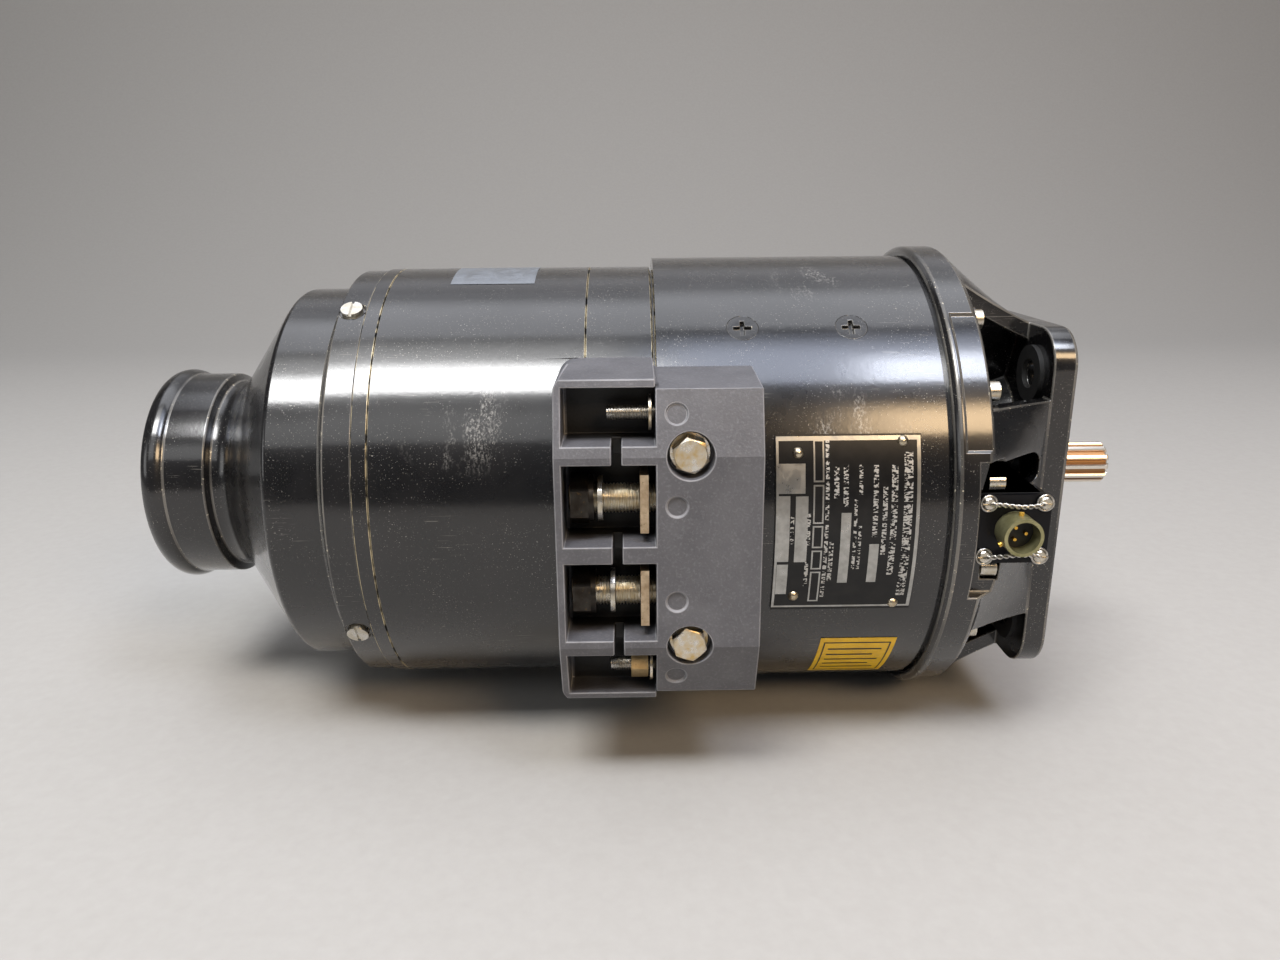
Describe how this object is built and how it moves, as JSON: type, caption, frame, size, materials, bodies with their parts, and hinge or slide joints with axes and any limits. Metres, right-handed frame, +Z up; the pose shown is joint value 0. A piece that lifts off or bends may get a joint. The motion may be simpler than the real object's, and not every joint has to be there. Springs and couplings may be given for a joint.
{
  "type": "aircraft starter generator",
  "caption": "Brushed DC starter generator: air-cooled round casing with square bolt-on flange, splined drive shaft, terminal block and round air inlet.",
  "frame": {"origin": "centre of the mounting flange's outer face, on the drive shaft's axis", "axes": "+X runs out along the drive shaft, +Z is up and the terminal block faces -Y"},
  "size_m": [0.3686, 0.1864, 0.172],
  "materials": {
    "black_paint": "gloss black enamel on cast and turned metal",
    "moulding": "dull dark grey phenolic moulding",
    "plated_screw": "plated steel",
    "dark_steel": "darkened steel",
    "shaft_steel": "ground alloy steel",
    "bearing_steel": "polished bearing steel",
    "core_steel": "varnished sheet steel stack",
    "spring_steel": "coiled strip steel",
    "cast_aluminium": "cast aluminium",
    "rivet_aluminium": "domed aluminium rivet",
    "brass": "dull brass",
    "copper": "turned copper",
    "varnished_winding": "varnished copper winding with tape",
    "carbon": "pressed carbon",
    "olive_plating": "olive drab plating on aluminium",
    "plate_black": "blank black foil plate",
    "rubber": "black rubber"
  },
  "bodies": {
    "housing": {"drive_end_frame": "black_paint", "frame_screws": "plated_screw", "mount_grommets": "rubber", "stator_yoke": "black_paint", "pole_screws": "black_paint", "interpole_screws": "black_paint", "main_poles": "core_steel", "interpoles": "core_steel", "main_field_coils": "varnished_winding", "interpole_coils": "varnished_winding", "commutator_end_frame": "black_paint", "brush_cover_band": "black_paint", "band_screw": "plated_screw", "inlet_cover": "black_paint", "cover_screws": "plated_screw", "terminal_block": "moulding", "block_bolts": "plated_screw", "block_bolt_washers": "plated_screw", "large_terminal_studs": "brass", "small_terminal_studs": "plated_screw", "terminal_plates": "brass", "terminal_nuts": "dark_steel", "flat_washers": "plated_screw", "spring_washers": "dark_steel", "small_terminal_nut": "brass", "small_terminal_washers": "plated_screw", "name_plate": "plate_black", "name_plate_rivets": "rivet_aluminium", "connector_gasket": "rubber", "connector_shell": "olive_plating", "connector_insert": "moulding", "connector_pins": "brass", "connector_screws": "plated_screw", "drive_bearing_outer_ring": "bearing_steel", "cover_bearing_outer_ring": "bearing_steel", "bearing_retainer": "dark_steel", "brush_carrier": "moulding", "brush_holders": "brass"},
    "rotor": {"armature_shaft": "shaft_steel", "armature_core": "core_steel", "armature_windings": "varnished_winding", "commutator": "copper", "cooling_fan": "cast_aluminium", "fan_nut": "dark_steel", "drive_end_locknut": "dark_steel", "drive_shaft": "shaft_steel", "drive_shaft_nut": "dark_steel", "damper_plate": "brass", "drive_bearing_inner_ring": "bearing_steel", "cover_bearing_inner_ring": "bearing_steel", "drive_bearing_balls": "bearing_steel", "cover_bearing_balls": "bearing_steel"},
    "brush_set_1": {"brushes_1": "carbon", "brush_spring_1": "spring_steel"},
    "brush_set_2": {"brushes_2": "carbon", "brush_spring_2": "spring_steel"},
    "brush_set_3": {"brushes_3": "carbon", "brush_spring_3": "spring_steel"},
    "brush_set_4": {"brushes_4": "carbon", "brush_spring_4": "spring_steel"}
  },
  "joints": [
    {"name": "rotor_spin", "type": "hinge", "parent": "housing", "child": "rotor", "pos_m": [0, 0, 0], "axis": [1, 0, 0], "continuous": true},
    {"name": "brush_slide_1", "type": "slide", "parent": "housing", "child": "brush_set_1", "axis": [0, -0.7071, 0.7071], "range_m": [0, 0.006], "stiffness_N_per_m": 200, "springref_m": -0.04},
    {"name": "brush_slide_2", "type": "slide", "parent": "housing", "child": "brush_set_2", "axis": [0, 0.7071, 0.7071], "range_m": [0, 0.006], "stiffness_N_per_m": 200, "springref_m": -0.04},
    {"name": "brush_slide_3", "type": "slide", "parent": "housing", "child": "brush_set_3", "axis": [0, 0.7071, -0.7071], "range_m": [0, 0.006], "stiffness_N_per_m": 200, "springref_m": -0.04},
    {"name": "brush_slide_4", "type": "slide", "parent": "housing", "child": "brush_set_4", "axis": [0, -0.7071, -0.7071], "range_m": [0, 0.006], "stiffness_N_per_m": 200, "springref_m": -0.04}
  ]
}
